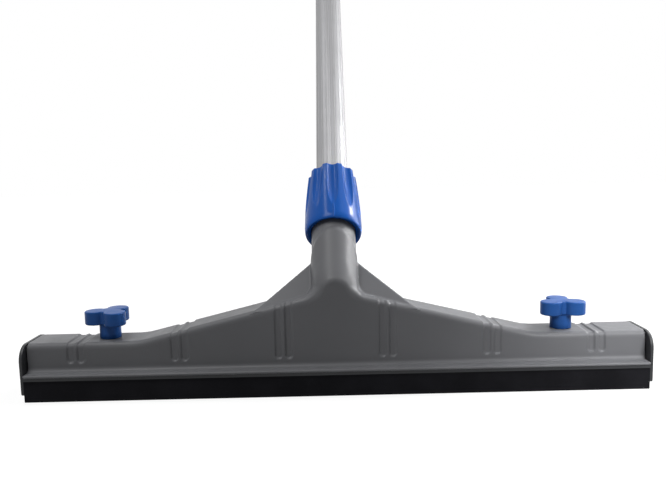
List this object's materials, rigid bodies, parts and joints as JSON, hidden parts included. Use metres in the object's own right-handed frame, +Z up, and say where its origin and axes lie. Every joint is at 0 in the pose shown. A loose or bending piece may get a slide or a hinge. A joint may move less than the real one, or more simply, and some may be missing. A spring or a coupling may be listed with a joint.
{
  "type": "floor squeegee",
  "caption": "Floor squeegee with a moulded hump-backed head, clamped blade carrier, star knobs, leaning socket with screw collar and a long grooved handle.",
  "frame": {"origin": "middle of the plane in which the two blades meet the floor", "axes": "+X along the head to the right seen from the front, +Y towards the back, where the handle leans, +Z up"},
  "size_m": [0.45, 1.0285, 1.0785],
  "materials": {
    "shell": "satin",
    "carrier": "matte",
    "rubber": "matte",
    "blue_plastic": "gloss",
    "tube": "satin",
    "steel": "satin"
  },
  "bodies": {
    "head": {"head_shell": "shell"},
    "carrier": {"blade_carrier": "carrier", "left_end_plate": "carrier", "right_end_plate": "carrier", "front_blade": "rubber", "rear_blade": "rubber", "left_nut": "steel", "right_nut": "steel"},
    "left_knob": {"left_knob": "blue_plastic", "left_stud": "steel", "left_retaining_ring": "steel"},
    "right_knob": {"right_knob": "blue_plastic", "right_stud": "steel", "right_retaining_ring": "steel"},
    "clamp": {"clamp_ring": "carrier"},
    "collar": {"locking_collar": "blue_plastic"},
    "handle": {"handle_tube": "tube", "lower_plug": "carrier", "hand_grip": "blue_plastic"}
  },
  "joints": [
    {"name": "carrier_drop", "type": "slide", "parent": "head", "child": "carrier", "axis": [0, 0, -1], "range_m": [0, 0.01]},
    {"name": "left_knob_turn", "type": "hinge", "parent": "head", "child": "left_knob", "pos_m": [-0.1665, 0, 0.0408], "axis": [0, 0, 1], "range_deg": [0, 3600]},
    {"name": "right_knob_turn", "type": "hinge", "parent": "head", "child": "right_knob", "pos_m": [0.1665, 0, 0.0408], "axis": [0, 0, 1], "range_deg": [0, 3600]},
    {"name": "clamp_lift", "type": "slide", "parent": "head", "child": "clamp", "axis": [0, 0.7071, 0.7071], "range_m": [0, 0.0061]},
    {"name": "collar_turn", "type": "hinge", "parent": "clamp", "child": "collar", "pos_m": [0, 0, 0.076], "axis": [0, 0.7071, 0.7071], "range_deg": [0, 720]},
    {"name": "handle_pull", "type": "slide", "parent": "head", "child": "handle", "axis": [0, 0.7071, 0.7071], "range_m": [0, 0.13]}
  ],
  "couplings": [
    {"joint": "left_knob_turn", "follows": "carrier_drop", "rad_per_m": 6283.2},
    {"joint": "right_knob_turn", "follows": "carrier_drop", "rad_per_m": 6283.2},
    {"joint": "clamp_lift", "follows": "collar_turn", "m_per_rad": 0.00047746}
  ]
}
